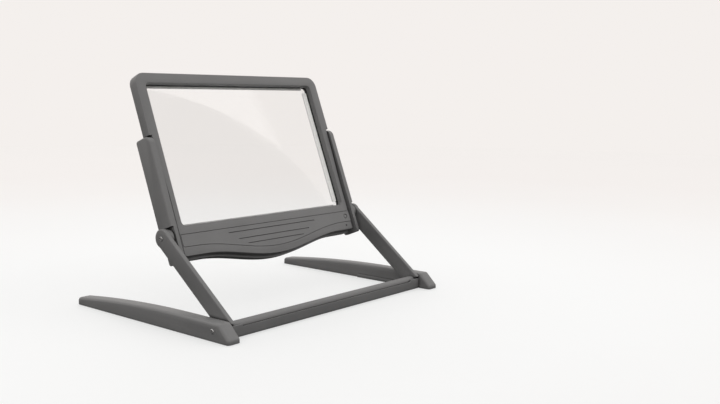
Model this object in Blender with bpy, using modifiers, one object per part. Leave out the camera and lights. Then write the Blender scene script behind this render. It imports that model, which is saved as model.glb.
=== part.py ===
"""Full-page reading magnifier: a lit lens frame carried by two folding arms on a U-shaped base.

+Z is up, the reader sits at -Y, and the origin is on the table under the middle of the base.
The model has four moving stages, each under an empty that lies on its joint's axis:
base > lower arms (base_fold_axis) > upper arms (knuckle_axis) > lens frame (tilt_axis) > button.

The lower arms are drawn in arm coordinates: x, s along the arm from the base pivot, t square to it.
The upper arms and the lens frame are drawn in lens coordinates: x, d = depth behind the frame's
front face, and v = height up the frame's slope from the middle of its lower edge.
"""

import math

import bmesh
import bpy
from mathutils import Matrix, Vector

GAP = 0.0003

# Base: two feet, tied at the front by a trough-shaped crossbar.
FOOT_INNER = 0.1651
FOOT_OUTER = 0.1823
FOOT_HALF_LENGTH = 0.13275
FOOT_HEIGHT = 0.0199
FOOT_CROWN_Y = -0.060
FOOT_FALL = 0.2955
FOOT_UNDER = 0.0006
CROSSBAR_FRONT = -0.1161
CROSSBAR_BACK = -0.1010
CROSSBAR_HEIGHT = 0.0110
CROSSBAR_STOP_HEIGHT = 0.0138
CROSSBAR_STOP_START = 0.1475
CROSSBAR_WALL = 0.0014

# Lower arms and the tube that ties them, turning about the base pivot.
BASE_PIVOT_Y = -0.1084
BASE_PIVOT_Z = 0.0112
LOWER_LENGTH = 0.1321
LOWER_ANGLE = math.radians(37.9)
LOWER_HALF_WIDTH = 0.00985
LOWER_END_RADIUS = 0.0106
LOWER_INNER = 0.1582
LOWER_OUTER = 0.1640
TUBE_RADIUS = 0.0054
BOSS_RADIUS = 0.0094
BOSS_INNER = 0.1529

# Upper arms, in lens coordinates.
LEAN = math.radians(21.6)
UPPER_INNER = 0.1470
UPPER_OUTER = 0.1550
UPPER_FRONT = -0.0033
UPPER_BACK = 0.0210
UPPER_BOTTOM = -0.0075
UPPER_TOP = 0.1392
KNUCKLE_D = 0.0076
KNUCKLE_V = 0.0228
RECESS_FLOOR = 0.1516
RECESS_TOP = 0.0334
TILT_D = 0.0066
TILT_V = 0.1270

# Lens frame, in lens coordinates.
FRAME_HALF_WIDTH = 0.1500
FRAME_TOP = 0.2153
FRAME_CORNER = 0.0130
SHOULDER_V = 0.1400
NECK_HALF_WIDTH = 0.1462
NECK_V = 0.1200
WAIST_HALF_WIDTH = 0.1436
WAIST_V = 0.0660
CHIN_V = -0.0022
WAVE_DROP = 0.0140
WAVE_HALF_WIDTH = 0.1150
WINDOW_HALF_WIDTH = 0.1366
WINDOW_BOTTOM = 0.0327
WINDOW_TOP = 0.2029
WINDOW_CORNER = 0.0050
WALL = 0.0018
FACE_THICKNESS = 0.0030
BEZEL_DEPTH = 0.0074
COVER_FRONT = BEZEL_DEPTH + GAP
COVER_DEPTH = 0.0120
TUB_FRONT = 0.0092
CHIN_DEPTH = 0.0210
CHIN_STEP = 0.0030
CHIN_TOP = 0.0319
SEAT_BACK = 0.0099
SEAT_MARGIN = 0.0032
PANEL_TOP = 0.0226
PANEL_END = 0.0087
PANEL_DROP = 0.0152
PANEL_WAVE_HALF_WIDTH = 0.1250
PANEL_LEFT = -0.1424
PANEL_THICKNESS = 0.0014
PANEL_POCKET = 0.0017
PANEL_SEAM = 0.0005
GROOVES = ((0.0170, 0.0735), (0.0082, 0.0600), (0.0014, 0.0475))
GROOVE_WIDTH = 0.0009
GROOVE_DEPTH = 0.0009

# Controls, light and power.
BUTTON_U = 0.1352
BUTTON_V = 0.0159
BUTTON_RADIUS = 0.0024
LAMP_U = 0.1324
LAMP_V = 0.0036
LAMP_RADIUS = 0.0010
LIGHT_INNER = 0.1295
LIGHT_OUTER = WINDOW_HALF_WIDTH - GAP
LIGHT_BOTTOM = 0.0400
LIGHT_TOP = 0.1960
CELL_RADIUS = 0.0071
CELL_LENGTH = 0.0500
CELL_PITCH = 0.0510
CELL_D = 0.0114
CELL_V = 0.0135
DOOR_HALF_WIDTH = 0.0840
DOOR_BOTTOM = 0.0035
DOOR_TOP = 0.0265

# Pins and screws.
PIN_RADIUS = 0.0022
PIN_HEAD_RADIUS = 0.0026
PIN_BORE = 0.0025
PIN_HOLLOW = 0.0011
TILT_PIN_RADIUS = 0.0026
TILT_FLANGE = 0.0034
SCREW_HEAD = 0.0024
SCREW_SHANK = 0.0011
SCREW_BOSS = 0.0032
SCREWS = ((0.1100, 0.2091), (0.1433, 0.1700), (0.1180, 0.0120))

PIN_STEPS = 16
ROUND_STEPS = 24
ARC_STEPS = 5
WAVE_STEPS = 14

FRONT_TURN = Matrix.Rotation(math.pi / 2, 4, "X")
SIDE_TURN = Matrix.Rotation(math.pi / 2, 4, "Z") @ FRONT_TURN

collections = {}
materials = {}
stages = {}


# ---------------------------------------------------------------- scene, materials and stages
def clear_scene():
    for obj in list(bpy.data.objects):
        bpy.data.objects.remove(obj, do_unlink=True)
    for collection in list(bpy.data.collections):
        bpy.data.collections.remove(collection)


def make_collections():
    for name in ("Magnifier", "Cutters"):
        collection = bpy.data.collections.new(name)
        bpy.context.scene.collection.children.link(collection)
        collections[name] = collection


def make_material(name, colour, roughness, metallic=0.0, alpha=1.0):
    material = bpy.data.materials.new(name)
    material.use_nodes = True
    shader = material.node_tree.nodes["Principled BSDF"]
    shader.inputs["Base Color"].default_value = (*colour, 1.0)
    shader.inputs["Roughness"].default_value = roughness
    shader.inputs["Metallic"].default_value = metallic
    shader.inputs["Alpha"].default_value = alpha
    materials[name] = material


def make_materials():
    make_material("grey_shell", (0.175, 0.172, 0.170), 0.48)
    make_material("grey_panel", (0.180, 0.177, 0.175), 0.42)
    make_material("clear_lens", (0.93, 0.94, 0.94), 0.06, alpha=0.25)
    make_material("white_diffuser", (0.85, 0.86, 0.85), 0.40)
    make_material("bright_steel", (0.82, 0.82, 0.82), 0.22, metallic=1.0)
    make_material("black_rubber", (0.03, 0.03, 0.03), 0.85)
    make_material("bronze", (0.55, 0.38, 0.20), 0.40, metallic=1.0)
    make_material("board_white", (0.80, 0.81, 0.80), 0.55)
    make_material("board_green", (0.04, 0.22, 0.10), 0.50)
    make_material("cell_wrap", (0.10, 0.16, 0.30), 0.35)
    make_material("black_plastic", (0.05, 0.05, 0.05), 0.50)


def make_stage(name, parent, location, turn):
    """An empty on a joint's axis, turned about X, that carries every piece of one moving stage."""
    empty = bpy.data.objects.new(name, None)
    collections["Magnifier"].objects.link(empty)
    empty.location = location
    empty.rotation_euler = (turn, 0.0, 0.0)
    empty.parent = parent
    return empty


def make_stages():
    """Fills stages with (empty, the stage's drawing origin as seen from the empty)."""
    base = make_stage("base_frame", None, (0.0, 0.0, 0.0), 0.0)
    lower = make_stage("base_fold_axis", base, (0.0, BASE_PIVOT_Y, BASE_PIVOT_Z), LOWER_ANGLE)
    knuckle = make_stage("knuckle_axis", lower, (0.0, LOWER_LENGTH, 0.0), -LEAN - LOWER_ANGLE)
    tilt = make_stage("tilt_axis", knuckle, (0.0, TILT_D - KNUCKLE_D, TILT_V - KNUCKLE_V), 0.0)
    stages["base"] = (base, Vector((0.0, 0.0, 0.0)))
    stages["lower"] = (lower, Vector((0.0, 0.0, 0.0)))
    stages["upper"] = (knuckle, Vector((0.0, -KNUCKLE_D, -KNUCKLE_V)))
    stages["lens"] = (tilt, Vector((0.0, -TILT_D, -TILT_V)))


# ---------------------------------------------------------------- outlines
def rounded_outline(corners, steps=ARC_STEPS):
    """Closed outline through (a, b, radius) corners, with an arc wherever the radius isn't 0."""
    points = []
    for i, (a, b, radius) in enumerate(corners):
        here = Vector((a, b))
        if radius == 0.0:
            points.append((a, b))
            continue
        before = (Vector(corners[i - 1][:2]) - here).normalized()
        after = (Vector(corners[(i + 1) % len(corners)][:2]) - here).normalized()
        half = before.angle(after) / 2
        centre = here + (before + after).normalized() * radius / math.sin(half)
        first = here + before * radius / math.tan(half) - centre
        last = here + after * radius / math.tan(half) - centre
        start = math.atan2(first.y, first.x)
        turn = (math.atan2(last.y, last.x) - start + math.pi) % (2 * math.pi) - math.pi
        for k in range(steps + 1):
            angle = start + turn * k / steps
            points.append((centre.x + radius * math.cos(angle), centre.y + radius * math.sin(angle)))
    return points


def arc(a, b, radius, start, end, steps):
    """Points on an arc about (a, b), from start to end in degrees."""
    angles = [math.radians(start + (end - start) * k / steps) for k in range(steps + 1)]
    return [(a + radius * math.cos(angle), b + radius * math.sin(angle)) for angle in angles]


def mirrored(half):
    """A half outline at a >= 0, from its lowest point to its highest, closed by its mirror image."""
    return half + [(-a, b) for a, b in reversed(half) if a > 0.0]


def wave(a, end, drop, half_width):
    """Height of an edge that is straight at its ends and dips by drop at the middle."""
    return end - drop * (1 + math.cos(math.pi * min(abs(a), half_width) / half_width)) / 2


def wave_points(end, drop, half_width):
    """The wavy edge from the middle out to just before it becomes straight."""
    spots = [half_width * k / WAVE_STEPS for k in range(WAVE_STEPS)]
    return [(a, wave(a, end, drop, half_width)) for a in spots]


def frame_outline(inset):
    """The lens frame's outer edge, moved inwards by inset."""
    half = wave_points(CHIN_V + inset, WAVE_DROP, WAVE_HALF_WIDTH)
    corners = [
        (WAVE_HALF_WIDTH, CHIN_V + inset, 0.0),
        (WAIST_HALF_WIDTH - inset, CHIN_V + inset, 0.0025),
        (WAIST_HALF_WIDTH - inset, WAIST_V, 0.0),
        (NECK_HALF_WIDTH - inset, NECK_V, 0.0),
        (NECK_HALF_WIDTH - inset, SHOULDER_V + inset, 0.0),
        (FRAME_HALF_WIDTH - inset, SHOULDER_V + inset, 0.0008),
        (FRAME_HALF_WIDTH - inset, FRAME_TOP - inset, FRAME_CORNER - inset),
        (0.0, FRAME_TOP - inset, 0.0),
    ]
    return mirrored(half + rounded_outline(corners)[1:-1])


def window_outline(outset):
    across = WINDOW_HALF_WIDTH + outset
    low = WINDOW_BOTTOM - outset
    high = WINDOW_TOP + outset
    radius = WINDOW_CORNER + outset
    return rounded_outline([(across, low, radius), (across, high, radius),
                            (-across, high, radius), (-across, low, radius)])


def chin_outline(inset, bottom):
    """The deep part of the rear cover, behind the chin."""
    half = wave_points(bottom, WAVE_DROP, WAVE_HALF_WIDTH)
    across = WAIST_HALF_WIDTH - inset
    side = rounded_outline([(WAVE_HALF_WIDTH, bottom, 0.0), (across, bottom, 0.0025),
                            (across, CHIN_TOP - inset, 0.0025), (0.0, CHIN_TOP - inset, 0.0)])
    return mirrored(half + side[1:-1])


def panel_outline(right, grow):
    """The chin's inset panel: straight along its top, wavy along its bottom, rounded at its left."""
    low = PANEL_END - grow
    high = PANEL_TOP + grow
    dips = wave_points(low, PANEL_DROP, PANEL_WAVE_HALF_WIDTH)
    left = PANEL_LEFT - grow
    ends = rounded_outline([(0.0, low, 0.0), (right, low, 0.0), (right, high, 0.0),
                            (left, high, 0.0010 + grow), (left, low + 0.0001, 0.0015 + grow)], 4)
    return dips + ends[1:] + [(-a, b) for a, b in reversed(dips[1:])]


def rectangle(a0, b0, a1, b1, radius=0.0):
    return rounded_outline([(a0, b0, radius), (a1, b0, radius), (a1, b1, radius), (a0, b1, radius)], 3)


# ---------------------------------------------------------------- solids
def add_object(name, mesh, stage, material, location=(0.0, 0.0, 0.0)):
    """A part where material is given, or else a cutter."""
    obj = bpy.data.objects.new(name, mesh)
    if material:
        collections["Magnifier"].objects.link(obj)
        mesh.materials.clear()
        mesh.materials.append(materials[material])
    else:
        collections["Cutters"].objects.link(obj)
        obj.hide_render = True
        obj.display_type = "WIRE"
    empty, origin = stages[stage]
    obj.parent = empty
    obj.location = origin + Vector(location)
    return obj


def plate_mesh(name, outlines, thickness, turn):
    """A flat plate of the outlines, the later ones being holes, centred on its own plane."""
    curve = bpy.data.curves.new(name + "_outline", "CURVE")
    curve.dimensions = "2D"
    curve.fill_mode = "BOTH"
    curve.extrude = thickness / 2
    for outline in outlines:
        spline = curve.splines.new("POLY")
        spline.points.add(len(outline) - 1)
        for point, (a, b) in zip(spline.points, outline):
            point.co = (a, b, 0.0, 1.0)
        spline.use_cyclic_u = True
    guide = bpy.data.objects.new(name + "_guide", curve)
    collections["Cutters"].objects.link(guide)
    graph = bpy.context.evaluated_depsgraph_get()
    mesh = bpy.data.meshes.new_from_object(guide.evaluated_get(graph))
    bpy.data.objects.remove(guide, do_unlink=True)
    mesh.name = name
    work = bmesh.new()
    work.from_mesh(mesh)
    bmesh.ops.remove_doubles(work, verts=work.verts, dist=0.000005)
    bmesh.ops.dissolve_limit(work, angle_limit=0.001, verts=work.verts, edges=work.edges)
    bmesh.ops.recalc_face_normals(work, faces=work.faces)
    bmesh.ops.transform(work, matrix=turn, verts=work.verts)
    work.to_mesh(mesh)
    work.free()
    return mesh


def front_plate(name, outlines, d0, d1, stage="lens", material=None):
    """A plate facing the reader, from depth d0 to d1."""
    mesh = plate_mesh(name, outlines, d1 - d0, FRONT_TURN)
    return add_object(name, mesh, stage, material, (0.0, (d0 + d1) / 2, 0.0))


def side_plate(name, outlines, x0, x1, stage, material=None):
    """A plate facing sideways, from x0 to x1."""
    mesh = plate_mesh(name, outlines, abs(x1 - x0), SIDE_TURN)
    return add_object(name, mesh, stage, material, ((x0 + x1) / 2, 0.0, 0.0))


def block(name, low, high, stage, material=None, soften=0.0):
    """A box between two corners, with its edges rounded by soften."""
    centre = (Vector(low) + Vector(high)) / 2
    work = bmesh.new()
    bmesh.ops.create_cube(work, size=1.0)
    bmesh.ops.scale(work, vec=Vector(high) - Vector(low), verts=work.verts)
    mesh = bpy.data.meshes.new(name)
    work.to_mesh(mesh)
    work.free()
    obj = add_object(name, mesh, stage, material, centre)
    if soften:
        soften_edges(obj, soften, 2)
    return obj


def turned(name, profile, stage, material, location, turn, steps=PIN_STEPS, ring=False):
    """A turned piece: (radius, height) points from its top down the outside, spun about its axis."""
    mesh = bpy.data.meshes.new(name)
    edges = [(k, k + 1) for k in range(len(profile) - 1)]
    if ring:
        edges.append((len(profile) - 1, 0))
    mesh.from_pydata([(radius, 0.0, height) for radius, height in profile], edges, [])
    obj = add_object(name, mesh, stage, material, location)
    obj.rotation_euler = turn
    screw = obj.modifiers.new("Turn", "SCREW")
    screw.steps = steps
    screw.render_steps = steps
    screw.use_merge_vertices = True
    screw.merge_threshold = 0.00001
    screw.use_smooth_shade = False
    return obj


def rod(name, radius, start, end, spot, stage, axis="X", material=None, steps=PIN_STEPS):
    """A plain round bar or bore cutter along X, or along Y, at spot in the other two coordinates."""
    work = bmesh.new()
    bmesh.ops.create_cone(work, cap_ends=True, segments=steps, radius1=radius, radius2=radius,
                          depth=abs(end - start))
    turn = Matrix.Rotation(math.pi / 2, 4, "Y" if axis == "X" else "X")
    bmesh.ops.transform(work, matrix=turn, verts=work.verts)
    mesh = bpy.data.meshes.new(name)
    work.to_mesh(mesh)
    work.free()
    middle = (start + end) / 2
    location = (middle, *spot) if axis == "X" else (spot[0], middle, spot[1])
    return add_object(name, mesh, stage, material, location)


def soften_edges(obj, width, segments, where=None):
    """Rounds an object's sharp edges, or only those whose middles satisfy where."""
    bevel = obj.modifiers.new("Soft edges", "BEVEL")
    bevel.width = width
    bevel.segments = segments
    bevel.use_clamp_overlap = True
    if not where:
        bevel.limit_method = "ANGLE"
        bevel.angle_limit = math.radians(40)
        return
    bevel.limit_method = "WEIGHT"
    work = bmesh.new()
    work.from_mesh(obj.data)
    layer = work.edges.layers.float.new("bevel_weight_edge")
    for edge in work.edges:
        sharp = len(edge.link_faces) == 2 and edge.calc_face_angle() > math.radians(40)
        if sharp and where((edge.verts[0].co + edge.verts[1].co) / 2):
            edge[layer] = 1.0
    work.to_mesh(obj.data)
    work.free()


def combine(target, other, operation):
    modifier = target.modifiers.new(other.name, "BOOLEAN")
    modifier.operation = operation
    modifier.solver = "EXACT"
    modifier.object = other


def cut(target, *others):
    for other in others:
        combine(target, other, "DIFFERENCE")


def join(target, *others):
    for other in others:
        combine(target, other, "UNION")


def side_name(side):
    return "left" if side < 0 else "right"


def outward(side):
    """Turns a turned piece's own axis to point away from the middle of the object."""
    return (0.0, side * math.pi / 2, 0.0)


# ---------------------------------------------------------------- base
def foot_back(y):
    """Height of a foot's gently crowned back."""
    return FOOT_HEIGHT - FOOT_FALL * (y - FOOT_CROWN_Y) ** 2


def foot_outline():
    """Side view of a foot: a low tail, a gently crowned back and a sloping, rounded nose."""
    tail_y = FOOT_HALF_LENGTH - 0.008
    spots = [tail_y + (FOOT_CROWN_Y - tail_y) * k / 9 for k in range(10)]
    return rounded_outline([(y, foot_back(y), 0.0) for y in spots] + [
        (-0.1175, FOOT_HEIGHT, 0.0050),
        (-FOOT_HALF_LENGTH, 0.0050, 0.0042),
        (-FOOT_HALF_LENGTH, FOOT_UNDER, 0.0),
        (FOOT_HALF_LENGTH, FOOT_UNDER, 0.0),
        (FOOT_HALF_LENGTH, foot_back(FOOT_HALF_LENGTH), 0.0045),
    ], 4)


def make_foot(side):
    name = side_name(side)
    foot = side_plate(f"foot_{name}", [foot_outline()], side * FOOT_INNER, side * FOOT_OUTER,
                      "base", "grey_shell")
    soften_edges(foot, 0.0030, 3, lambda middle: middle.z > FOOT_UNDER + 0.0001)
    pivot = (BASE_PIVOT_Y, BASE_PIVOT_Z)
    bush_bore = rod(f"cut_bush_{name}", 0.0043, side * (FOOT_INNER - 0.001), side * 0.1783, pivot, "base")
    pin_bore = rod(f"cut_foot_pin_{name}", PIN_BORE, side * 0.1700, side * 0.1840, pivot, "base")
    cut(foot, bush_bore, pin_bore)
    for place, y0, y1 in (("front", -0.112, -0.070), ("rear", 0.084, 0.126)):
        inner = side * (FOOT_INNER + 0.0032)
        outer = side * (FOOT_OUTER - 0.0032)
        x0, x1 = sorted((inner, outer))
        block(f"pad_{place}_{name}", (x0, y0, 0.0), (x1, y1, 0.0022), "base", "black_rubber")
        cut(foot, block(f"cut_pad_{place}_{name}", (x0 - GAP, y0 - GAP, -0.001),
                        (x1 + GAP, y1 + GAP, 0.0022 + GAP), "base"))
    bush = [(0.0040, 0.0137), (0.0040, 0.0), (PIN_BORE, 0.0), (PIN_BORE, 0.0137)]
    turned(f"pivot_bush_{name}", bush, "base", "bronze",
           (side * (LOWER_OUTER + GAP), *pivot), outward(side), ring=True)
    pin = [(0.0, 0.0205), (PIN_HOLLOW, 0.0205), (PIN_HOLLOW, 0.0240), (PIN_HEAD_RADIUS - 0.0004, 0.0240),
           (PIN_HEAD_RADIUS, 0.0236), (PIN_HEAD_RADIUS, 0.0233), (PIN_RADIUS, 0.0233), (PIN_RADIUS, 0.0),
           (0.0, 0.0)]
    turned(f"base_pin_{name}", pin, "base", "bright_steel", (side * 0.1590, *pivot), outward(side))
    x0, x1 = sorted((side * 0.1627, side * (FOOT_INNER - GAP)))
    block(f"arm_rest_{name}", (x0, -0.0760, FOOT_UNDER), (x1, -0.0125, 0.0049), "base", "grey_shell", 0.0004)


def make_crossbar():
    """A trough for the arms' tie tube. Its front wall rises at both ends, to stop the arms."""
    inner_front = CROSSBAR_FRONT + CROSSBAR_WALL
    inner_back = CROSSBAR_BACK - CROSSBAR_WALL
    floor = FOOT_UNDER + 0.0022
    outline = rounded_outline([
        (CROSSBAR_FRONT, FOOT_UNDER, 0.0006), (CROSSBAR_BACK, FOOT_UNDER, 0.0006),
        (CROSSBAR_BACK, 0.0048, 0.0005), (inner_back, 0.0048, 0.0005),
        (inner_back, floor, 0.0), (inner_front, floor, 0.0),
        (inner_front, CROSSBAR_STOP_HEIGHT, 0.0005), (CROSSBAR_FRONT, CROSSBAR_STOP_HEIGHT, 0.0006),
    ], 3)
    reach = FOOT_INNER - GAP
    crossbar = side_plate("crossbar", [outline], -reach, reach, "base", "grey_shell")
    dip = block("cut_crossbar_dip", (-CROSSBAR_STOP_START, CROSSBAR_FRONT - 0.001, CROSSBAR_HEIGHT),
                (CROSSBAR_STOP_START, inner_front + 0.001, CROSSBAR_STOP_HEIGHT + 0.004), "base")
    soften_edges(dip, 0.0026, 4, lambda middle: abs(middle.x) > 0.01 and middle.z < -0.002)
    cut(crossbar, dip)
    for side in (-1, 1):
        x0, x1 = sorted((side * (LOWER_INNER - 0.0007), side * (reach + 0.001)))
        cut(crossbar, block(f"cut_crossbar_{side_name(side)}", (x0, inner_front, 0.0),
                            (x1, CROSSBAR_BACK + 0.001, 0.012), "base"))


# ---------------------------------------------------------------- lower arms
def lower_arm_outline():
    """Straight bar with a round knuckle end; its base end is cut back to turn inside the trough."""
    w = LOWER_HALF_WIDTH
    meet = math.degrees(math.asin(w / LOWER_END_RADIUS))
    knuckle = arc(LOWER_LENGTH, 0.0, LOWER_END_RADIUS, -(180 - meet), 180 - meet, 16)
    base_end = arc(0.0, 0.0, TUBE_RADIUS, 106, 215, 6)
    corner = arc(0.0, -w + 0.004, 0.004, 205, 270, 4)
    return [(-0.004, w)] + base_end + corner + knuckle


def make_lower_arm(side):
    name = side_name(side)
    arm = side_plate(f"lower_arm_{name}", [lower_arm_outline()], side * LOWER_INNER, side * LOWER_OUTER,
                     "lower", "grey_shell")
    soften_edges(arm, 0.0012, 3)
    knuckle = (LOWER_LENGTH, 0.0)
    join(arm, rod(f"join_boss_{name}", BOSS_RADIUS, side * BOSS_INNER, side * (LOWER_INNER + 0.002),
                  knuckle, "lower", steps=ROUND_STEPS))
    cut(arm, rod(f"cut_arm_base_{name}", PIN_BORE, side * 0.150, side * 0.170, (0.0, 0.0), "lower"),
        rod(f"cut_arm_knuckle_{name}", PIN_BORE, side * 0.150, side * 0.170, knuckle, "lower"),
        rod(f"cut_arm_head_{name}", PIN_HEAD_RADIUS + GAP, side * 0.1634, side * 0.170, knuckle, "lower"))
    pin = [(0.0, 0.0160), (PIN_HOLLOW, 0.0160), (PIN_HOLLOW, 0.0191), (PIN_HEAD_RADIUS - 0.0003, 0.0191),
           (PIN_HEAD_RADIUS, 0.0188), (PIN_HEAD_RADIUS, 0.0182), (PIN_RADIUS, 0.0182), (PIN_RADIUS, 0.0),
           (0.0, 0.0)]
    turned(f"knuckle_pin_{name}", pin, "lower", "bright_steel", (side * 0.1455, *knuckle), outward(side))
    clip = [(0.0046, 0.0010), (0.0046, 0.0), (PIN_BORE, 0.0), (PIN_BORE, 0.0010)]
    turned(f"knuckle_clip_{name}", clip, "lower", "bright_steel", (side * 0.1457, *knuckle),
           outward(side), ring=True)


def make_tie_tube():
    half = LOWER_INNER - GAP
    wall = [(TUBE_RADIUS, half), (TUBE_RADIUS, -half), (TUBE_RADIUS - 0.0012, -half),
            (TUBE_RADIUS - 0.0012, half)]
    turned("tie_tube", wall, "lower", "grey_shell", (0.0, 0.0, 0.0), outward(1), ROUND_STEPS, ring=True)


# ---------------------------------------------------------------- upper arms
def make_upper_arm(side):
    name = side_name(side)
    outline = rounded_outline([
        (UPPER_FRONT, UPPER_BOTTOM, 0.0030), (UPPER_BACK, UPPER_BOTTOM, 0.0030),
        (UPPER_BACK, UPPER_TOP, 0.0030), (UPPER_FRONT, UPPER_TOP, 0.0090),
    ])
    arm = side_plate(f"upper_arm_{name}", [outline], side * UPPER_INNER, side * UPPER_OUTER,
                     "upper", "grey_shell")
    soften_edges(arm, 0.0020, 3, lambda middle: middle.x * side > 0.001)
    knuckle = (KNUCKLE_D, KNUCKLE_V)
    x0, x1 = sorted((side * RECESS_FLOOR, side * (UPPER_OUTER + 0.001)))
    cut(arm, block(f"cut_recess_{name}", (x0, UPPER_FRONT - 0.001, UPPER_BOTTOM - 0.001),
                   (x1, UPPER_BACK + 0.001, RECESS_TOP), "upper"),
        rod(f"cut_upper_knuckle_{name}", PIN_BORE, side * 0.145, side * 0.157, knuckle, "upper"),
        rod(f"cut_upper_tilt_{name}", TILT_PIN_RADIUS + GAP, side * 0.145, side * 0.1528,
            (TILT_D, TILT_V), "upper"))
    washer = [(0.0085, 0.0007), (0.0085, 0.0), (PIN_BORE, 0.0), (PIN_BORE, 0.0007)]
    turned(f"friction_washer_{name}", washer, "upper", "black_rubber",
           (side * (RECESS_FLOOR + GAP), *knuckle), outward(side), ring=True)


# ---------------------------------------------------------------- lens frame
def screw_spots():
    return [(side * u, v, f"{number}_{side_name(side)}")
            for number, (u, v) in enumerate(SCREWS, 1) for side in (-1, 1)]


def is_deep(v):
    """True where the rear cover is the chin's deep tub."""
    return v < CHIN_TOP


def make_front_bezel():
    bezel = front_plate("front_bezel", [frame_outline(0.0), window_outline(0.0)], 0.0, BEZEL_DEPTH,
                        material="grey_shell")
    front = -BEZEL_DEPTH / 2 + 0.0001
    soften_edges(bezel, 0.0012, 3, lambda middle: middle.y < front)
    bosses = [arc(u, v, SCREW_BOSS, 0, 330, 11) for u, v, name in screw_spots()]
    cut(bezel,
        front_plate("cut_bezel_pocket", [frame_outline(WALL), window_outline(WALL), *bosses],
                    FACE_THICKNESS, BEZEL_DEPTH + 0.001),
        front_plate("cut_panel_pocket", [panel_outline(0.160, PANEL_SEAM)], -0.001, PANEL_POCKET),
        rod("cut_button", BUTTON_RADIUS + GAP, -0.001, 0.005, (BUTTON_U, BUTTON_V), "lens", "Y"),
        rod("cut_lamp", LAMP_RADIUS + GAP, -0.001, 0.005, (LAMP_U, LAMP_V), "lens", "Y"))
    for u, v, name in screw_spots():
        cut(bezel, rod(f"cut_pilot_{name}", SCREW_SHANK + GAP, 0.0038, 0.009, (u, v), "lens", "Y"))
    cut(bezel, *tilt_bores)


def make_rear_cover():
    cover = front_plate("rear_cover", [frame_outline(0.0002), window_outline(0.0)], COVER_FRONT, COVER_DEPTH,
                        material="grey_shell")
    back = (COVER_DEPTH - COVER_FRONT) / 2 - 0.0001
    soften_edges(cover, 0.0018, 3, lambda middle: middle.y > back)
    tub = front_plate("join_chin_tub", [chin_outline(0.0006, CHIN_V - CHIN_STEP)], TUB_FRONT, CHIN_DEPTH)
    tub_back = (CHIN_DEPTH - TUB_FRONT) / 2 - 0.0001
    soften_edges(tub, 0.0020, 3, lambda middle: middle.y > tub_back)
    join(cover, tub)
    across = DOOR_HALF_WIDTH + 0.0004
    cut(cover,
        front_plate("cut_cover_pocket", [frame_outline(WALL), window_outline(WALL)],
                    COVER_FRONT - 0.001, COVER_DEPTH - WALL),
        front_plate("cut_tub_pocket", [chin_outline(WALL + 0.0004, CHIN_V + WALL + 0.0002)],
                    COVER_FRONT - 0.002, CHIN_DEPTH - WALL),
        front_plate("cut_tub_step", [chin_outline(WALL + 0.0008, CHIN_V - CHIN_STEP + WALL)],
                    TUB_FRONT + WALL, CHIN_DEPTH - WALL - 0.0002),
        front_plate("cut_cover_seat", [window_outline(SEAT_MARGIN)], COVER_FRONT - 0.001, SEAT_BACK),
        front_plate("cut_door", [rectangle(-across, DOOR_BOTTOM - 0.0004, across, DOOR_TOP + 0.0004, 0.002)],
                    CHIN_DEPTH - WALL - 0.001, CHIN_DEPTH + 0.001))
    for u, v, name in screw_spots():
        back_face = CHIN_DEPTH if is_deep(v) else COVER_DEPTH
        cut(cover,
            rod(f"cut_shank_{name}", SCREW_SHANK + GAP, COVER_FRONT - 0.001, back_face + 0.002, (u, v),
                "lens", "Y"),
            rod(f"cut_head_{name}", SCREW_HEAD + GAP, back_face - 0.0012, back_face + 0.001, (u, v),
                "lens", "Y"))
    cut(cover, *tilt_bores)


def make_screws():
    for u, v, name in screw_spots():
        back_face = CHIN_DEPTH if is_deep(v) else COVER_DEPTH
        tip = 0.0045
        length = back_face - 0.0003 - tip
        profile = [(0.0, 0.0), (SCREW_SHANK, 0.0), (SCREW_SHANK, 0.0006 - length),
                   (SCREW_HEAD, 0.0006 - length), (SCREW_HEAD, -length), (0.0010, -length),
                   (0.0010, 0.0005 - length), (0.0, 0.0005 - length)]
        turned(f"screw_{name}", profile, "lens", "bright_steel", (u, tip, v), (math.pi / 2, 0.0, 0.0), 12)


def make_lens():
    edge = SEAT_MARGIN - GAP
    front_plate("lens_gasket", [window_outline(edge - 0.0002), window_outline(0.0006)],
                COVER_FRONT, COVER_FRONT + 0.0004, material="black_rubber")
    lens = front_plate("lens", [window_outline(edge)], COVER_FRONT + 0.0006, SEAT_BACK - GAP,
                       material="clear_lens")
    soften_edges(lens, 0.0004, 1)


def make_light_bars():
    """Lamp boards behind the lens at both sides, with their frosted covers facing the page."""
    for side in (-1, 1):
        name = side_name(side)
        x0, x1 = sorted((side * LIGHT_INNER, side * LIGHT_OUTER))
        d_board = SEAT_BACK + 0.0001
        board = block(f"led_board_{name}", (x0, d_board, LIGHT_BOTTOM), (x1, d_board + 0.0006, LIGHT_TOP),
                      "lens", "board_white")
        for k in range(6):
            v = LIGHT_BOTTOM + (LIGHT_TOP - LIGHT_BOTTOM) * (k + 0.5) / 6
            middle = (x0 + x1) / 2
            join(board, block(f"join_led_{name}_{k}", (middle - 0.0014, d_board + 0.0004, v - 0.0014),
                              (middle + 0.0014, d_board + 0.0011, v + 0.0014), "lens"))
        d_cover = d_board + 0.0009
        cover = block(f"led_cover_{name}", (x0, d_cover, LIGHT_BOTTOM),
                      (x1, COVER_DEPTH - 0.0001, LIGHT_TOP), "lens", "white_diffuser", 0.0003)
        cut(cover, block(f"cut_led_cover_{name}", (x0 + 0.0008, d_cover - 0.001, LIGHT_BOTTOM + 0.0008),
                         (x1 - 0.0008, d_cover + 0.0005, LIGHT_TOP - 0.0008), "lens"))


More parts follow.
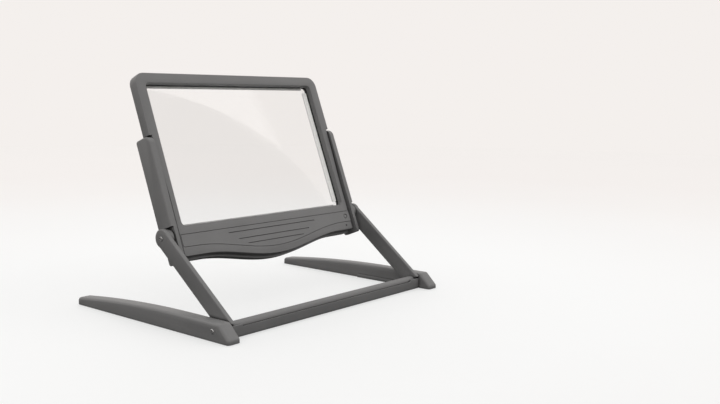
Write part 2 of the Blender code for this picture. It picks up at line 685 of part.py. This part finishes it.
def make_panel():
    panel = front_plate("control_panel", [panel_outline(WAIST_HALF_WIDTH - 0.0002, 0.0)],
                        0.0, PANEL_THICKNESS, material="grey_panel")
    for number, (v, reach) in enumerate(GROOVES):
        cut(panel, block(f"cut_groove_{number}", (-reach, -0.001, v - GROOVE_WIDTH / 2),
                         (reach, GROOVE_DEPTH, v + GROOVE_WIDTH / 2), "lens"))
    cut(panel, rod("cut_panel_ring", 0.0034, -0.001, 0.002, (BUTTON_U, BUTTON_V), "lens", "Y",
                   steps=ROUND_STEPS))
    ring = [(0.0031, 0.0), (0.0031, -PANEL_THICKNESS), (BUTTON_RADIUS + GAP, -PANEL_THICKNESS),
            (BUTTON_RADIUS + GAP, 0.0)]
    turned("button_ring", ring, "lens", "grey_panel", (BUTTON_U, 0.0, BUTTON_V), (math.pi / 2, 0.0, 0.0),
           ROUND_STEPS, ring=True)
    button = [(0.0, 0.0001), (BUTTON_RADIUS - 0.0003, 0.0001), (BUTTON_RADIUS, -0.0002),
              (BUTTON_RADIUS, -0.0033), (0.0034, -0.0033), (0.0034, -0.0039), (0.0, -0.0039)]
    turned("power_button", button, "lens", "grey_panel", (BUTTON_U, 0.0, BUTTON_V), (math.pi / 2, 0.0, 0.0),
           ROUND_STEPS)
    lamp = [(0.0, 0.0002), (0.0007, 0.0002), (LAMP_RADIUS, -0.0001), (LAMP_RADIUS, -0.0034), (0.0, -0.0034)]
    turned("indicator_lamp", lamp, "lens", "black_plastic", (LAMP_U, 0.0, LAMP_V),
           (math.pi / 2, 0.0, 0.0), 12)


def make_power():
    block("control_board", (0.1222, 0.0071, 0.0030), (0.1405, 0.0083, 0.0285), "lens", "board_green")
    block("tact_switch", (BUTTON_U - 0.0030, 0.0046, BUTTON_V - 0.0030),
          (BUTTON_U + 0.0030, 0.0068, BUTTON_V + 0.0030), "lens", "black_plastic", 0.0004)
    block("driver_chip", (0.1235, 0.0052, 0.0210), (0.1295, 0.0068, 0.0270), "lens", "black_plastic")
    half = CELL_LENGTH / 2
    for number in (-1, 0, 1):
        cell = [(0.0, half), (0.0026, half), (0.0026, half - 0.0012), (CELL_RADIUS - 0.0006, half - 0.0012),
                (CELL_RADIUS, half - 0.0018), (CELL_RADIUS, -half), (0.0, -half)]
        turned(f"battery_cell_{number + 2}", cell, "lens", "cell_wrap",
               (number * CELL_PITCH, CELL_D, CELL_V), outward(1), ROUND_STEPS)
    end = CELL_PITCH + half
    block("contact_plate", (end + 0.0005, CELL_D - 0.0055, CELL_V - 0.0055),
          (end + 0.0010, CELL_D + 0.0055, CELL_V + 0.0055), "lens", "bright_steel")
    make_contact_spring(-end - 0.0005)
    outline = rectangle(-DOOR_HALF_WIDTH, DOOR_BOTTOM, DOOR_HALF_WIDTH, DOOR_TOP, 0.0018)
    door = front_plate("battery_door", [outline],
                       CHIN_DEPTH - 0.0014, CHIN_DEPTH, material="grey_shell")
    cut(door, *[block(f"cut_grip_{k}", (-0.008, CHIN_DEPTH - 0.0005, 0.0070 + 0.0022 * k),
                      (0.008, CHIN_DEPTH + 0.001, 0.0079 + 0.0022 * k), "lens") for k in range(4)])


def make_contact_spring(x_end):
    """Conical battery spring, widest at the case and narrowest where it meets the cell."""
    turns, per_turn, length = 3, 10, 0.0042
    curve = bpy.data.curves.new("contact_spring", "CURVE")
    curve.dimensions = "3D"
    curve.bevel_depth = 0.00035
    curve.bevel_resolution = 1
    curve.use_fill_caps = True
    curve.materials.append(materials["bright_steel"])
    spline = curve.splines.new("POLY")
    count = turns * per_turn
    spline.points.add(count)
    for k, point in enumerate(spline.points):
        part = k / count
        radius = 0.0024 + 0.0026 * part
        angle = 2 * math.pi * k / per_turn
        point.co = (-length * part - 0.0004, radius * math.cos(angle), radius * math.sin(angle), 1.0)
    spring = bpy.data.objects.new("contact_spring", curve)
    collections["Magnifier"].objects.link(spring)
    empty, origin = stages["lens"]
    spring.parent = empty
    spring.location = origin + Vector((x_end, CELL_D, CELL_V))


def make_tilt_pin(side):
    pin = [(0.0, 0.0112), (TILT_PIN_RADIUS - 0.0005, 0.0112), (TILT_PIN_RADIUS, 0.0107),
           (TILT_PIN_RADIUS, 0.0020), (TILT_FLANGE, 0.0020), (TILT_FLANGE, 0.0), (0.0, 0.0)]
    turned(f"tilt_pin_{side_name(side)}", pin, "lens", "bright_steel", (side * 0.1412, TILT_D, TILT_V),
           outward(side))


def shade_round_parts():
    for obj in collections["Magnifier"].objects:
        if obj.type == "MESH":
            obj.data.shade_smooth()
            obj.data.set_sharp_from_angle(angle=math.radians(35))


clear_scene()
make_collections()
make_materials()
make_stages()
tilt_bores = [rod(f"cut_tilt_bore_{side_name(side)}", TILT_PIN_RADIUS + GAP, side * 0.1425, side * 0.1480,
                  (TILT_D, TILT_V), "lens") for side in (-1, 1)]
for hand in (-1, 1):
    make_foot(hand)
    make_lower_arm(hand)
    make_upper_arm(hand)
    make_tilt_pin(hand)
make_crossbar()
make_tie_tube()
make_front_bezel()
make_rear_cover()
make_screws()
make_lens()
make_light_bars()
make_panel()
make_power()
shade_round_parts()
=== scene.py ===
import math

import bmesh
import bpy
from mathutils import Matrix, Vector


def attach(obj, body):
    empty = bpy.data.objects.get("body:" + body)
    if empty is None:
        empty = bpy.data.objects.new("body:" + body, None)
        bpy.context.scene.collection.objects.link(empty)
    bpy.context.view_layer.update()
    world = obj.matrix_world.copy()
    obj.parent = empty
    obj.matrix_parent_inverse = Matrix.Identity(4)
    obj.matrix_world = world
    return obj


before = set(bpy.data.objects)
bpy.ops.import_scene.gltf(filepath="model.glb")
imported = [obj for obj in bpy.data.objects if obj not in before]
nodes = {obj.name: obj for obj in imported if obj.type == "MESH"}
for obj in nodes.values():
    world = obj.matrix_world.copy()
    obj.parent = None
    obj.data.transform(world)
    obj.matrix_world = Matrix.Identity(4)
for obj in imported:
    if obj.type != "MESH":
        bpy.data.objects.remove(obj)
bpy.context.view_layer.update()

# The lens frame's slope and its knuckle, which place anything drawn in the frame's own plane.
LEAN = math.radians(21.6)
KNUCKLE = Vector((0.0, -0.00416, 0.09235))
KNUCKLE_D = 0.0076
KNUCKLE_V = 0.0228


def on_frame(u, d, v):
    """World place of a point u across, d behind the frame's front face and v up its slope."""
    dd = d - KNUCKLE_D
    dv = v - KNUCKLE_V
    return KNUCKLE + Vector((u, dd * math.cos(LEAN) + dv * math.sin(LEAN),
                             dv * math.cos(LEAN) - dd * math.sin(LEAN)))


# The floor paper's reach, the bend and height of the wall round it, and the floor's glow tones at distances
# from the middle: painted light that keeps the floor brighter near the middle and fades it to the wall's
# tone at its edge.
STUDIO_RADIUS = 3.2
WALL_BEND = 2.0
WALL_TOP = 6.0
FLOOR_GLOW = (
    (0.4, (0.982, 0.992, 0.990)),
    (0.8, (0.932, 0.923, 0.914)),
    (1.2, (0.902, 0.864, 0.840)),
    (1.7, (0.903, 0.849, 0.819)),
    (2.3, (0.925, 0.873, 0.841)),
    (3.0, (0.935, 0.886, 0.854)),
)


# ---------------------------------------------------------------- shader helpers
def link(tree, source, target):
    tree.links.new(source, target)


def add(tree, kind, **inputs):
    node = tree.nodes.new(kind)
    for name, value in inputs.items():
        node.inputs[name.replace("_", " ")].default_value = value
    return node


def noise(tree, coords, scale, detail=3.0, rough=0.5):
    node = add(tree, "ShaderNodeTexNoise", Scale=scale, Detail=detail, Roughness=rough)
    link(tree, coords, node.inputs["Vector"])
    return node.outputs["Fac"]


def spread(tree, source, low, high, to_low, to_high):
    node = tree.nodes.new("ShaderNodeMapRange")
    for name, value in (("From Min", low), ("From Max", high), ("To Min", to_low), ("To Max", to_high)):
        node.inputs[name].default_value = value
    link(tree, source, node.inputs["Value"])
    return node.outputs["Result"]


def calc(tree, operation, a, b):
    node = tree.nodes.new("ShaderNodeMath")
    node.operation = operation
    for slot, value in zip(node.inputs, (a, b)):
        if isinstance(value, (int, float)):
            slot.default_value = value
        else:
            link(tree, value, slot)
    return node.outputs["Value"]


def shade_of(tree, colour, amount):
    """The colour multiplied by a varying amount."""
    node = tree.nodes.new("ShaderNodeMix")
    node.data_type = "RGBA"
    node.blend_type = "MULTIPLY"
    node.inputs["Factor"].default_value = 1.0
    node.inputs["A"].default_value = (*colour, 1.0)
    link(tree, amount, node.inputs["B"])
    return node.outputs["Result"]


def mix_colours(tree, amount, a, b):
    node = tree.nodes.new("ShaderNodeMix")
    node.data_type = "RGBA"
    link(tree, amount, node.inputs["Factor"])
    for slot, value in ((node.inputs["A"], a), (node.inputs["B"], b)):
        if isinstance(value, tuple):
            slot.default_value = (*value, 1.0)
        else:
            link(tree, value, slot)
    return node.outputs["Result"]


def bump(tree, height, distance, strength, before=None):
    node = add(tree, "ShaderNodeBump", Distance=distance, Strength=strength)
    link(tree, height, node.inputs["Height"])
    if before:
        link(tree, before, node.inputs["Normal"])
    return node.outputs["Normal"]


def start(name, colour, roughness, metallic=0.0, **sockets):
    """A cleared material with a Principled shader and its object coordinates."""
    material = bpy.data.materials.get(name) or bpy.data.materials.new(name)
    material.use_nodes = True
    tree = material.node_tree
    tree.nodes.clear()
    shader = tree.nodes.new("ShaderNodeBsdfPrincipled")
    output = tree.nodes.new("ShaderNodeOutputMaterial")
    link(tree, shader.outputs["BSDF"], output.inputs["Surface"])
    shader.inputs["Base Color"].default_value = (*colour, 1.0)
    shader.inputs["Roughness"].default_value = roughness
    shader.inputs["Metallic"].default_value = metallic
    for socket, value in sockets.items():
        shader.inputs[socket.replace("_", " ")].default_value = value
    coords = tree.nodes.new("ShaderNodeTexCoord").outputs["Object"]
    return material, tree, shader, coords


# ---------------------------------------------------------------- materials
def moulded(name, colour, roughness, grain=0.35, radius=0.00035):
    """Spark-eroded moulded plastic: fine grain, cloudy gloss, painted shade in its crevices and softened
    edges.
    """
    material, tree, shader, coords = start(name, colour, roughness)
    cloud = noise(tree, coords, 22.0, 4.0)
    speck = noise(tree, coords, 1500.0, 2.0)
    level = calc(tree, "ADD", spread(tree, cloud, 0.3, 0.7, 0.94, 1.05),
                 spread(tree, speck, 0.3, 0.7, -0.05, 0.05))
    # Painted shade: ambient occlusion darkens the colour in crevices, slots and the gaps between parts.
    painted_crevice_shade = add(tree, "ShaderNodeAmbientOcclusion", Distance=0.004)
    painted_crevice_shade.samples = 8
    level = calc(tree, "MULTIPLY", level, spread(tree, painted_crevice_shade.outputs["AO"], 0.30, 0.85, 0.08, 1.0))
    link(tree, shade_of(tree, colour, level), shader.inputs["Base Color"])
    gloss = calc(tree, "ADD", spread(tree, cloud, 0.3, 0.7, roughness - 0.04, roughness + 0.05),
                 spread(tree, speck, 0.3, 0.7, -0.03, 0.03))
    link(tree, gloss, shader.inputs["Roughness"])
    soft = tree.nodes.new("ShaderNodeBevel")
    soft.samples = 6
    soft.inputs["Radius"].default_value = radius
    link(tree, bump(tree, noise(tree, coords, 2600.0, 2.0), 0.00004, grain, soft.outputs["Normal"]),
         shader.inputs["Normal"])
    return material


def steel(name, colour, roughness):
    """Turned metal: fine rings from the cutting tool."""
    material, tree, shader, coords = start(name, colour, roughness, metallic=1.0)
    stretched = add(tree, "ShaderNodeMapping", Scale=(6000.0, 900.0, 900.0))
    link(tree, coords, stretched.inputs["Vector"])
    rings = noise(tree, stretched.outputs["Vector"], 1.0, 2.0)
    link(tree, shade_of(tree, colour, spread(tree, rings, 0.3, 0.7, 0.90, 1.04)),
         shader.inputs["Base Color"])
    link(tree, spread(tree, rings, 0.3, 0.7, roughness - 0.05, roughness + 0.10), shader.inputs["Roughness"])
    soft = tree.nodes.new("ShaderNodeBevel")
    soft.samples = 4
    soft.inputs["Radius"].default_value = 0.00015
    link(tree, bump(tree, rings, 0.00002, 0.4, soft.outputs["Normal"]), shader.inputs["Normal"])
    return material


def rubber(name, colour):
    material, tree, shader, coords = start(name, colour, 0.82)
    speck = noise(tree, coords, 900.0, 4.0, 0.65)
    link(tree, shade_of(tree, colour, spread(tree, speck, 0.3, 0.7, 0.75, 1.35)),
         shader.inputs["Base Color"])
    link(tree, bump(tree, speck, 0.0001, 0.5), shader.inputs["Normal"])
    return material


def clear_lens(name):
    """Clear acrylic with the concentric grooves of a page lens on it and a trace of haze."""
    material, tree, shader, coords = start(name, (0.938, 0.936, 0.933), 0.015, IOR=1.49,
                                           Transmission_Weight=1.0)
    centre = add(tree, "ShaderNodeMapping")
    centre.inputs["Location"].default_value = -on_frame(0.0, 0.009, 0.1178)
    link(tree, coords, centre.inputs["Vector"])
    length = tree.nodes.new("ShaderNodeVectorMath")
    length.operation = "LENGTH"
    link(tree, centre.outputs["Vector"], length.inputs[0])
    groove = calc(tree, "FRACT", calc(tree, "MULTIPLY", length.outputs["Value"], 1 / 0.00045), 0.0)
    link(tree, bump(tree, groove, 0.000003, 0.12), shader.inputs["Normal"])
    haze = noise(tree, coords, 30.0, 4.0)
    link(tree, spread(tree, haze, 0.35, 0.65, 0.010, 0.035), shader.inputs["Roughness"])
    return material


def frosted(name, colour):
    material, tree, shader, coords = start(name, colour, 0.45, Transmission_Weight=0.25)
    ribs = add(tree, "ShaderNodeTexWave", Scale=260.0, Distortion=0.0)
    ribs.bands_direction = "Z"
    link(tree, coords, ribs.inputs["Vector"])
    link(tree, shade_of(tree, colour, spread(tree, ribs.outputs["Fac"], 0.0, 1.0, 0.93, 1.03)),
         shader.inputs["Base Color"])
    link(tree, bump(tree, ribs.outputs["Fac"], 0.0001, 0.4), shader.inputs["Normal"])
    return material


def board(name, colour, traces, scale, glow=0.0):
    """Circuit board lacquer with faint conductor runs under it; where glow is set, it glows as painted
    light.
    """
    material, tree, shader, coords = start(name, colour, 0.38)
    shader.inputs["Emission Color"].default_value = (1.0, 0.99, 0.97, 1.0)
    shader.inputs["Emission Strength"].default_value = glow
    cells = tree.nodes.new("ShaderNodeTexVoronoi")
    cells.distance = "MANHATTAN"
    cells.feature = "F1"
    cells.inputs["Scale"].default_value = scale
    link(tree, coords, cells.inputs["Vector"])
    run = spread(tree, cells.outputs["Distance"], 0.42, 0.46, 0.0, 1.0)
    link(tree, mix_colours(tree, run, colour, traces), shader.inputs["Base Color"])
    link(tree, bump(tree, run, 0.00004, 0.5), shader.inputs["Normal"])
    return material


def label_wrap(name, colour, band):
    """Printed shrink sleeve: a plain coloured band round one end of each cell."""
    material, tree, shader, coords = start(name, colour, 0.30)
    apart = tree.nodes.new("ShaderNodeSeparateXYZ")
    link(tree, coords, apart.inputs["Vector"])
    place = calc(tree, "FRACT", calc(tree, "MULTIPLY", calc(tree, "ADD", apart.outputs["X"], 0.0255),
                                     1 / 0.051), 0.0)
    cap = calc(tree, "GREATER_THAN", place, 0.72)
    worn = noise(tree, coords, 400.0, 3.0)
    painted = mix_colours(tree, cap, colour, band)
    node = tree.nodes.new("ShaderNodeMix")
    node.data_type = "RGBA"
    node.blend_type = "MULTIPLY"
    node.inputs["Factor"].default_value = 1.0
    link(tree, painted, node.inputs["A"])
    link(tree, spread(tree, worn, 0.3, 0.7, 0.92, 1.05), node.inputs["B"])
    link(tree, node.outputs["Result"], shader.inputs["Base Color"])
    link(tree, bump(tree, worn, 0.00002, 0.3), shader.inputs["Normal"])
    return material


def studio_paper(name, colour, glow=0.0, glow_colour=(1.0, 1.0, 1.0), glow_steps=None,
                 gloss=0.5):
    """Backdrop paper lit from behind. With glow_steps, its tone changes away from the middle as painted
    light.
    """
    material, tree, shader, coords = start(name, colour, 0.85, Specular_IOR_Level=gloss)
    shader.inputs["Emission Color"].default_value = (*glow_colour, 1.0)
    shader.inputs["Emission Strength"].default_value = glow
    if glow_steps:
        length = tree.nodes.new("ShaderNodeVectorMath")
        length.operation = "LENGTH"
        link(tree, coords, length.inputs[0])
        ramp = tree.nodes.new("ShaderNodeValToRGB")
        link(tree, spread(tree, length.outputs["Value"], 0.0, STUDIO_RADIUS, 0.0, 1.0), ramp.inputs["Fac"])
        stops = ramp.color_ramp.elements
        for i, (away, tone) in enumerate(glow_steps):
            stop = stops[i] if i < 2 else stops.new(away / STUDIO_RADIUS)
            stop.position = away / STUDIO_RADIUS
            stop.color = (*tone, 1.0)
        link(tree, ramp.outputs["Color"], shader.inputs["Emission Color"])
    fibre = noise(tree, coords, 3.0, 5.0)
    link(tree, shade_of(tree, colour, spread(tree, fibre, 0.3, 0.7, 0.992, 1.006)),
         shader.inputs["Base Color"])
    link(tree, bump(tree, noise(tree, coords, 700.0, 3.0), 0.00005, 0.15), shader.inputs["Normal"])
    return material


SHELL = (0.178, 0.176, 0.175)
moulded("shell", SHELL, 0.44)
moulded("panel", (0.186, 0.184, 0.183), 0.41, grain=0.25)
moulded("dark", (0.030, 0.030, 0.031), 0.38, grain=0.2)
clear_lens("lens")
frosted("diffuser", (0.86, 0.87, 0.86))
steel("steel", (0.80, 0.80, 0.80), 0.24)
steel("bronze", (0.52, 0.36, 0.19), 0.38)
rubber("rubber", (0.028, 0.028, 0.029))
# The lamp board's glow is painted light: it brightens the board behind the lens, where too little light
# reaches it.
board("lamp_board", (0.80, 0.81, 0.80), (0.74, 0.75, 0.73), 420.0, glow=0.42)
board("board", (0.02, 0.16, 0.07), (0.06, 0.30, 0.13), 300.0)
label_wrap("wrap", (0.08, 0.12, 0.22), (0.62, 0.45, 0.16))


# ---------------------------------------------------------------- smooth shading of the CAD meshes
def smoothing_group():
    """Welds a mesh's triangles and shades it smooth, except across edges sharper than 32 degrees."""
    group = bpy.data.node_groups.new("smooth_by_angle", "GeometryNodeTree")
    group.interface.new_socket("Geometry", in_out="INPUT", socket_type="NodeSocketGeometry")
    group.interface.new_socket("Geometry", in_out="OUTPUT", socket_type="NodeSocketGeometry")
    first = group.nodes.new("NodeGroupInput")
    last = group.nodes.new("NodeGroupOutput")
    weld = group.nodes.new("GeometryNodeMergeByDistance")
    weld.inputs["Distance"].default_value = 0.000002
    strip = group.nodes.new("GeometryNodeRemoveAttribute")
    strip.inputs["Name"].default_value = "custom_normal"
    faces = group.nodes.new("GeometryNodeSetShadeSmooth")
    faces.domain = "FACE"
    edges = group.nodes.new("GeometryNodeSetShadeSmooth")
    edges.domain = "EDGE"
    edges.inputs["Shade Smooth"].default_value = False
    angle = group.nodes.new("GeometryNodeInputMeshEdgeAngle")
    sharp = group.nodes.new("FunctionNodeCompare")
    sharp.operation = "GREATER_THAN"
    sharp.inputs["B"].default_value = math.radians(32)
    links = group.links
    links.new(first.outputs[0], weld.inputs["Geometry"])
    links.new(weld.outputs["Geometry"], strip.inputs["Geometry"])
    links.new(strip.outputs["Geometry"], faces.inputs["Geometry"])
    links.new(faces.outputs["Geometry"], edges.inputs["Geometry"])
    links.new(angle.outputs["Unsigned Angle"], sharp.inputs["A"])
    links.new(sharp.outputs["Result"], edges.inputs["Selection"])
    links.new(edges.outputs["Geometry"], last.inputs[0])
    return group


smoother = smoothing_group()
for node in nodes.values():
    node.modifiers.new("Smooth", "NODES").node_group = smoother


# ---------------------------------------------------------------- pieces the CAD leaves to the looks
def piece(name, mesh, body, material, location=(0.0, 0.0, 0.0), rotation=(0.0, 0.0, 0.0)):
    obj = bpy.data.objects.new(name, mesh)
    bpy.context.scene.collection.objects.link(obj)
    obj.location = location
    obj.rotation_euler = rotation
    mesh.materials.append(bpy.data.materials[material])
    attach(obj, body)
    return obj


def box_mesh(name, size, soften):
    work = bmesh.new()
    bmesh.ops.create_cube(work, size=1.0)
    bmesh.ops.scale(work, vec=Vector(size), verts=work.verts)
    bmesh.ops.bevel(work, geom=work.edges[:], offset=soften, segments=2, affect="EDGES", profile=0.5)
    mesh = bpy.data.meshes.new(name)
    work.to_mesh(mesh)
    work.free()
    mesh.shade_smooth()
    mesh.set_sharp_from_angle(angle=math.radians(35))
    return mesh


def frame_bar(name, u0, u1, d0, d1, v0, v1, material, soften=0.0003):
    mesh = box_mesh(name, (u1 - u0, d1 - d0, v1 - v0), soften)
    middle = on_frame((u0 + u1) / 2, (d0 + d1) / 2, (v0 + v1) / 2)
    return piece(name, mesh, "lens_frame", material, middle, (-LEAN, 0.0, 0.0))


frame_bar("lamp_lining_top", -0.1285, 0.1285, 0.0100, 0.0117, 0.2000, 0.2026, "diffuser")
frame_bar("lamp_lining_bottom", -0.1285, 0.1285, 0.0100, 0.0117, 0.0330, 0.0356, "diffuser")


# ---------------------------------------------------------------- floor, backdrop and light
def studio_floor():
    work = bmesh.new()
    bmesh.ops.create_circle(work, cap_ends=True, segments=96, radius=STUDIO_RADIUS)
    mesh = bpy.data.meshes.new("studio_floor")
    work.to_mesh(mesh)
    work.free()
    floor = bpy.data.objects.new("studio_floor", mesh)
    bpy.context.scene.collection.objects.link(floor)
    # The floor's glow ramp is painted light: brighter near the middle, fading to the wall's tone at the
    # edge.
    mesh.materials.append(studio_paper("studio_paper", (0.380, 0.376, 0.372), 0.52,
                                       glow_steps=FLOOR_GLOW))
    bends = [math.pi / 2 * k / 12 for k in range(1, 13)]
    profile = [(STUDIO_RADIUS, 0.0)]
    profile += [(STUDIO_RADIUS + WALL_BEND * math.sin(a), WALL_BEND - WALL_BEND * math.cos(a))
                for a in bends]
    profile += [(STUDIO_RADIUS + WALL_BEND, WALL_TOP)]
    wall_mesh = bpy.data.meshes.new("studio_wall")
    count = 96
    points = [(r * math.cos(2 * math.pi * k / count), r * math.sin(2 * math.pi * k / count), z)
              for r, z in profile for k in range(count)]
    faces = [(row * count + k, row * count + (k + 1) % count, (row + 1) * count + (k + 1) % count,
              (row + 1) * count + k) for row in range(len(profile) - 1) for k in range(count)]
    wall_mesh.from_pydata(points, [], faces)
    wall_mesh.shade_smooth()
    wall = bpy.data.objects.new("studio_wall", wall_mesh)
    bpy.context.scene.collection.objects.link(wall)
    wall_mesh.materials.append(studio_paper("studio_back", (0.01, 0.01, 0.01), 0.898,
                                            (1.0, 0.960, 0.933), gloss=0.0))
    floor.visible_diffuse = False
    floor.visible_glossy = False
    wall.visible_diffuse = False
    wall.visible_shadow = False
    wall.visible_transmission = True


def area_light(name, place, target, size, power, shape="SQUARE", colour=(1.0, 1.0, 1.0)):
    data = bpy.data.lights.new(name, "AREA")
    data.shape = shape
    data.size = size
    data.energy = power
    data.color = colour
    light = bpy.data.objects.new(name, data)
    bpy.context.scene.collection.objects.link(light)
    light.location = place
    light.rotation_euler = (Vector(target) - Vector(place)).to_track_quat("-Z", "Y").to_euler()
    return light


def make_world(above, below):
    """Even light from all round above the floor, and little from below it."""
    world = bpy.data.worlds.new("studio_world")
    bpy.context.scene.world = world
    world.use_nodes = True
    tree = world.node_tree
    background = tree.nodes["Background"]
    apart = tree.nodes.new("ShaderNodeSeparateXYZ")
    link(tree, tree.nodes.new("ShaderNodeTexCoord").outputs["Generated"], apart.inputs["Vector"])
    height = spread(tree, apart.outputs["Z"], -0.10, 0.06, 0.0, 1.0)
    link(tree, mix_colours(tree, height, below, above), background.inputs["Color"])


def reflected_card(name, offset, radius, facing, colour):
    """A round grey card, seen only as the curved edge it mirrors in the lens."""
    work = bmesh.new()
    bmesh.ops.create_circle(work, cap_ends=True, segments=96, radius=radius)
    mesh = bpy.data.meshes.new(name)
    work.to_mesh(mesh)
    work.free()
    card = bpy.data.objects.new(name, mesh)
    bpy.context.scene.collection.objects.link(card)
    card.location = lens_centre + Vector(offset)
    card.rotation_euler = Vector(facing).to_track_quat("Z", "Y").to_euler()
    mesh.materials.append(studio_paper("studio_card", (0.05, 0.05, 0.05), 1.0, colour))
    card.visible_camera = False
    card.visible_diffuse = False
    card.visible_shadow = False


def make_camera():
    yaw = math.radians(50.41)
    pitch = math.radians(-7.0)
    roll = math.radians(0.63)
    ahead = Vector((math.sin(yaw) * math.cos(pitch), math.cos(yaw) * math.cos(pitch), math.sin(pitch)))
    level = Vector((math.cos(yaw), -math.sin(yaw), 0.0))
    above = level.cross(ahead)
    right = level * math.cos(roll) + above * math.sin(roll)
    up = above * math.cos(roll) - level * math.sin(roll)
    data = bpy.data.cameras.new("camera")
    data.lens = 44.0
    data.sensor_width = 36.0
    data.clip_start = 0.01
    data.clip_end = 50.0
    camera = bpy.data.objects.new("camera", data)
    bpy.context.scene.collection.objects.link(camera)
    turn = Matrix((right, up, -ahead)).transposed().to_4x4()
    camera.matrix_world = Matrix.Translation(Vector((-0.7589, -0.7785, 0.2525))) @ turn
    bpy.context.scene.camera = camera


studio_floor()
lens_centre = on_frame(0.0, 0.0083, 0.1178)
make_world((0.86, 0.855, 0.85), (0.05, 0.05, 0.05))
area_light("softbox_above", (-0.3, 0.9, 2.3), (0.0, 0.0, 0.1), 1.9, 9.0)
fill = area_light("softbox_front", (1.2, -1.6, 1.2), (0.0, 0.0, 0.1), 1.2, 6.0)
fill.visible_glossy = False
reflected_card("studio_disc", (0.9690, -1.8676, 0.5899), 0.944, (-0.6837, 0.5737, -0.4510),
               (0.38, 0.375, 0.37))
make_camera()
scene = bpy.context.scene
scene.view_settings.view_transform = "Standard"
scene.view_settings.look = "None"
